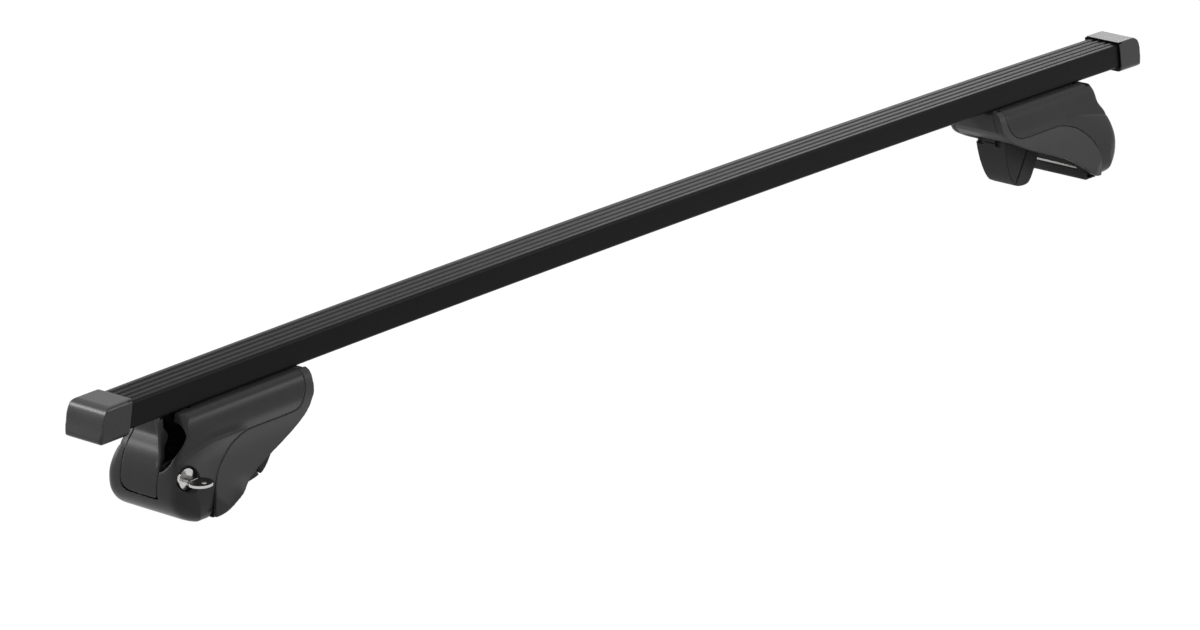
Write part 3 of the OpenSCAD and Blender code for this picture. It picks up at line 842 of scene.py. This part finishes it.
# %% Bar
BAR_L, BAR_W, BAR_H, EDGE = 1144.0, 30.0, 19.4, 2.5
BAR_WALL, SLOT_HALF, RIB_TALL, RIB_R = 2, 5, 0.8, 2.9
SHARP_BAR = 40

half_w, half_h = BAR_W / 2, BAR_H / 2
section = []
section += arc(half_w - EDGE, half_h - EDGE, EDGE, 0, 90, 8)
for rib in (9, 3, -3, -9):
    section += arc(rib, half_h + RIB_TALL - RIB_R, RIB_R, 46.4, 133.6, 10)
section += arc(-half_w + EDGE, half_h - EDGE, EDGE, 90, 180, 8)
section += arc(-half_w + EDGE, -half_h + EDGE, EDGE, 180, 270, 8)
section += [(-SLOT_HALF, -half_h), (-SLOT_HALF, -half_h + BAR_WALL),
            (-half_w + BAR_WALL, -half_h + BAR_WALL),
            (-half_w + BAR_WALL, half_h - BAR_WALL),
            (half_w - BAR_WALL, half_h - BAR_WALL),
            (half_w - BAR_WALL, -half_h + BAR_WALL),
            (SLOT_HALF, -half_h + BAR_WALL), (SLOT_HALF, -half_h)]
section += arc(half_w - EDGE, -half_h + EDGE, EDGE, -90, 0, 8)
bar = prism("crossbar_skin", section, "x", -BAR_L / 2, BAR_L / 2, steps=64)
for vert in bar.data.vertices:
    along, high = vert.co.x / MM, vert.co.z / MM
    turn = along / BOW_R
    vert.co.x = (BOW_R + high) * math.sin(turn) * MM
    vert.co.z = ((BOW_R + high) * math.cos(turn) - BOW_R) * MM + BAR_Z
wake(bar)
bpy.ops.object.shade_smooth_by_angle(angle=math.radians(SHARP_BAR))
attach(bar, "bar")
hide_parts("crossbar")
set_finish(bar, "bar")
print("bar of", len(bar.data.polygons), "faces")

# %% [markdown]
# ## End caps
#
# A moulded cap closes each end. It is made as the feet are: its outline
# from the side is pulled across and crossed with its outlines from the end
# and from above. A socket for the bar and a wider mouth are cut out of it,
# and then it is skinned afresh and its edges are rubbed round.

# %% End caps
CAP_X, CAP_W, CAP_TOP, CAP_LOW, CAP_LONG = 551.0, 34.0, 12.0, -13.2, 31.6
CAP_HALF, TOP_R, LOW_R, PLAN_R = CAP_W / 2, 3, 4.5, 3.4
SOCKET_LONG, SOCKET_LOW, SOCKET_TOP = 21.2, -9.73, 10.6

front = flow([(15, CAP_TOP + 0.6), (21.2, CAP_TOP - 0.3),
              (24.8, CAP_TOP - 2.6), (27, CAP_TOP - 6),
              (28.2, CAP_TOP - 9.5), (29, CAP_TOP - 14),
              (30.4, CAP_LOW + 7), (31.2, CAP_LOW + 4.6),
              (30.8, CAP_LOW + 2.4), (29, CAP_LOW + 0.8),
              (25.5, CAP_LOW - 0.6), (24, CAP_LOW - 1)], 4)
cap = prism("cap", [(4.9, CAP_LOW - 1), (-0.2, CAP_TOP + 0.6)] + front,
            "y", -CAP_HALF - 1, CAP_HALF + 1)
rounded = ([(0, CAP_TOP)]
           + arc(CAP_HALF - TOP_R, CAP_TOP - TOP_R, TOP_R, 90, 0, 8)
           + arc(CAP_HALF - LOW_R, CAP_LOW + LOW_R, LOW_R, 0, -90, 8)
           + [(0, CAP_LOW)])
cut(cap, prism("rounded", both_sides(rounded), "x", -1, 40), "INTERSECT")
level = ([(-2, 0), (-2, CAP_HALF + 0.1), (20, CAP_HALF + 0.1)]
         + arc(CAP_LONG - PLAN_R, CAP_HALF - PLAN_R, PLAN_R, 90, 0, 10)
         + [(CAP_LONG, 0)])
level += [(x, -y) for x, y in reversed(level) if y > 0]
cut(cap, prism("corners", level, "z", -20, 20), "INTERSECT")
socket = [(-3, SOCKET_LOW), (SOCKET_LONG, SOCKET_LOW), (SOCKET_LONG, 9.4),
          (20, SOCKET_TOP), (-3, SOCKET_TOP)]
cut(cap, prism("socket", socket, "y", -15, 15))
cut(cap, block("mouth", (-6, -16.2, -12.4), (4.6, 16.2, 11.3)))
mould(cap, 0.4, 6)
cap_right = on_bar(CAP_X)
for side, spot in (("right", cap_right), ("left", HALF_TURN @ cap_right)):
    twin = copy_of(cap, f"end_cap_{side}_skin")
    twin.data.transform(spot)
    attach(twin, "bar")
    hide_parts(f"end_cap_{side}")
    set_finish(twin, slot_with(f"end_cap_{side}"))
bpy.data.objects.remove(cap)
print("caps are on")

# %% [markdown]
# ## Key
#
# The key has a round bow that lies level, with a hole for a ring. Its rim
# is bevelled, so it catches a bright line of light.

# %% Key
BOW_CENTRE, BOW_ROUND, BOW_LOW, BOW_TOP = (66.4, 43.5), 8.5, -50.9, -49.1
RING_CENTRE, RING_HOLE_R = (66.4, 47), 1.8
RIM, SHARP_RIM, SHARP_KEY = 0.45, 50, 35

bow = rod("bow", "z", BOW_CENTRE, BOW_ROUND, BOW_LOW, BOW_TOP, 64)
cut(bow, rod("ring_hole", "z", RING_CENTRE, RING_HOLE_R, -60, -40, 24))
cut(bow, block("blade", (62.6, 20.6, -51), (70.2, 37.6, -49)), "UNION")
finish_with(bow, "BEVEL", width=RIM * MM, segments=3, limit_method="ANGLE",
            angle_limit=math.radians(SHARP_RIM))
bpy.ops.object.shade_smooth_by_angle(angle=math.radians(SHARP_KEY))
stand_for(bow, "key", sides=("left",))

# %% [markdown]
# ## Finishes
#
# Each finish is a Principled shader whose colour, roughness and bump vary
# as the real surface does. Fine moulded grain, used by all of them, is a
# node group that is built once: a fine noise drives the bump, and a slower
# one makes the colour and the roughness uneven.

# %% Grain group
CLOUD_SCALE, GRAIN_HEIGHT = 55, 0.0002
TINT_RANGE, ROUGH_RANGE = (0.9, 1.1), (-0.04, 0.04)

grain = bpy.data.node_groups.new("moulded grain", "ShaderNodeTree")
for way, name, kind in (("INPUT", "Scale", "Float"),
                        ("INPUT", "Depth", "Float"),
                        ("INPUT", "Colour", "Color"),
                        ("INPUT", "Roughness", "Float"),
                        ("OUTPUT", "Colour", "Color"),
                        ("OUTPUT", "Roughness", "Float"),
                        ("OUTPUT", "Normal", "Vector")):
    grain.interface.new_socket(name, in_out=way,
                               socket_type="NodeSocket" + kind)
g_in = grain.nodes.new("NodeGroupInput")
g_out = grain.nodes.new("NodeGroupOutput")
spot = grain.nodes.new("ShaderNodeTexCoord")
fine = grain.nodes.new("ShaderNodeTexNoise")
fine.inputs["Detail"].default_value = 3
cloud = grain.nodes.new("ShaderNodeTexNoise")
cloud.inputs["Scale"].default_value = CLOUD_SCALE
cloud.inputs["Detail"].default_value = 4
bump = grain.nodes.new("ShaderNodeBump")
bump.inputs["Distance"].default_value = GRAIN_HEIGHT
shade = grain.nodes.new("ShaderNodeMix")
shade.data_type = "RGBA"
shade.blend_type = "MULTIPLY"
shade.inputs[0].default_value = 1.0
tint, rough = [grain.nodes.new("ShaderNodeMapRange") for _ in range(2)]
for node, ends in ((tint, TINT_RANGE), (rough, ROUGH_RANGE)):
    node.inputs["To Min"].default_value = ends[0]
    node.inputs["To Max"].default_value = ends[1]
add = grain.nodes.new("ShaderNodeMath")
add.operation = "ADD"
link = grain.links.new
link(spot.outputs["Object"], fine.inputs["Vector"])
link(spot.outputs["Object"], cloud.inputs["Vector"])
link(g_in.outputs["Scale"], fine.inputs["Scale"])
link(fine.outputs["Fac"], bump.inputs["Height"])
link(g_in.outputs["Depth"], bump.inputs["Strength"])
link(cloud.outputs["Fac"], tint.inputs["Value"])
link(cloud.outputs["Fac"], rough.inputs["Value"])
link(g_in.outputs["Colour"], shade.inputs[6])
link(tint.outputs["Result"], shade.inputs[7])
link(rough.outputs["Result"], add.inputs[0])
link(g_in.outputs["Roughness"], add.inputs[1])
link(shade.outputs[2], g_out.inputs["Colour"])
link(add.outputs["Value"], g_out.inputs["Roughness"])
link(bump.outputs["Normal"], g_out.inputs["Normal"])
print("grain group of", len(grain.nodes), "nodes")


# %% Finishes
def finish(name, colour, roughness, scale, depth, metallic=0.0,
           specular=0.5):
    """One named finish, with the scale and depth of its grain."""
    made = bpy.data.materials.new(name)
    made.use_nodes = True
    tree = made.node_tree
    skin = tree.nodes["Principled BSDF"]
    skin.inputs["Metallic"].default_value = metallic
    skin.inputs["Specular IOR Level"].default_value = specular
    group = tree.nodes.new("ShaderNodeGroup")
    group.node_tree = grain
    group.inputs["Scale"].default_value = scale
    group.inputs["Depth"].default_value = depth
    group.inputs["Colour"].default_value = (*colour, 1)
    group.inputs["Roughness"].default_value = roughness
    for mine, theirs in (("Colour", "Base Color"), ("Roughness",) * 2,
                         ("Normal",) * 2):
        tree.links.new(group.outputs[mine], skin.inputs[theirs])
    return made


FINISHES = {
    "bar": finish("black powder coat", (0.012, 0.012, 0.012), 0.3,
                  2600, 0.2, specular=0.04),
    "body_satin": finish("satin grey black plastic",
                         (0.044, 0.0428, 0.0436), 0.42,
                         1800, 0.2, specular=0.15),
    "cover": finish("fine black plastic", (0.034, 0.033, 0.0336), 0.3,
                    1800, 0.15, specular=0.12),
    "cap": finish("smooth black plastic", (0.033, 0.032, 0.0325), 0.28,
                  1800, 0.03, specular=0.25),
    "jaw_grey": finish("dark cast alloy", (0.022, 0.0214, 0.0218), 0.5,
                       1200, 0.3, specular=0.12),
    "rubber": finish("matt rubber", (0.06, 0.0585, 0.0592), 0.7,
                     900, 0.4, specular=0.08),
    "zinc": finish("zinc plate", (0.32, 0.32, 0.31), 0.3,
                   500, 0.1, metallic=1.0),
    # This finish is also put on the key's level faces, where it is a painted dark
    # reflection.
    "black_steel": finish("black oxide", (0.01, 0.01, 0.01), 0.4,
                          900, 0.2, specular=0.1),
    # Painted shade: a black finish for the housing's end inside the cover,
    # standing in for the dark there.
    "core": finish("unseen black core", (0.004, 0.004, 0.004), 0.6,
                   1200, 0.2, specular=0.05),
    "lock_metal": finish("nickel plate", (0.52, 0.51, 0.5), 0.12,
                         300, 0.0, metallic=1.0),
}
print("finishes:", sorted(FINISHES))

# %% [markdown]
# ## Finishes on the pieces
#
# Each piece gets the finish of its slot, but the caps are smoother than the
# panels and the lock's cam is blackened. The key's level faces are painted
# black as a dark reflection, which leaves its rim bright. The end of each
# housing that lies inside the cover is painted black as shade, the dark that
# is seen deep in the finger recess.

# %% Put the finishes on
# How far out along the bar the housing is painted black as shade, and how level a
# key face must be to be painted dark as a reflection.
PAINTED_SHADE_FROM, PAINTED_REFLECTION_LEVEL = 0.494, 0.9
OWN_FINISH = {"end_cap": "cap", "lock_cam": "black_steel"}


def second_finish(piece, name, has_it):
    """Gives the faces that pass a test a second finish."""
    piece.data.materials.append(FINISHES[name])
    for face in piece.data.polygons:
        if has_it(face):
            face.material_index = 1


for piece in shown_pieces():
    slot = piece.get("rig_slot") or slot_with(piece.get("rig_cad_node"))
    for start, own in OWN_FINISH.items():
        if piece.name.startswith(start):
            slot = own
    piece.data.materials.clear()
    piece.data.materials.append(FINISHES[slot])
    # Painted reflection: the key's level faces are painted black, standing in for
    # the dark that they mirror.
    if piece.name.startswith("key"):
        second_finish(piece, "black_steel",
                      lambda face: abs(face.normal.z) > PAINTED_REFLECTION_LEVEL)
    # Painted shade: the housing's faces beyond the set distance out along the bar
    # are painted black.
    if piece.name.startswith("housing"):
        second_finish(piece, "core",
                      lambda face: abs(face.center.x) > PAINTED_SHADE_FROM)

# %% Hand over
low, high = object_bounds()
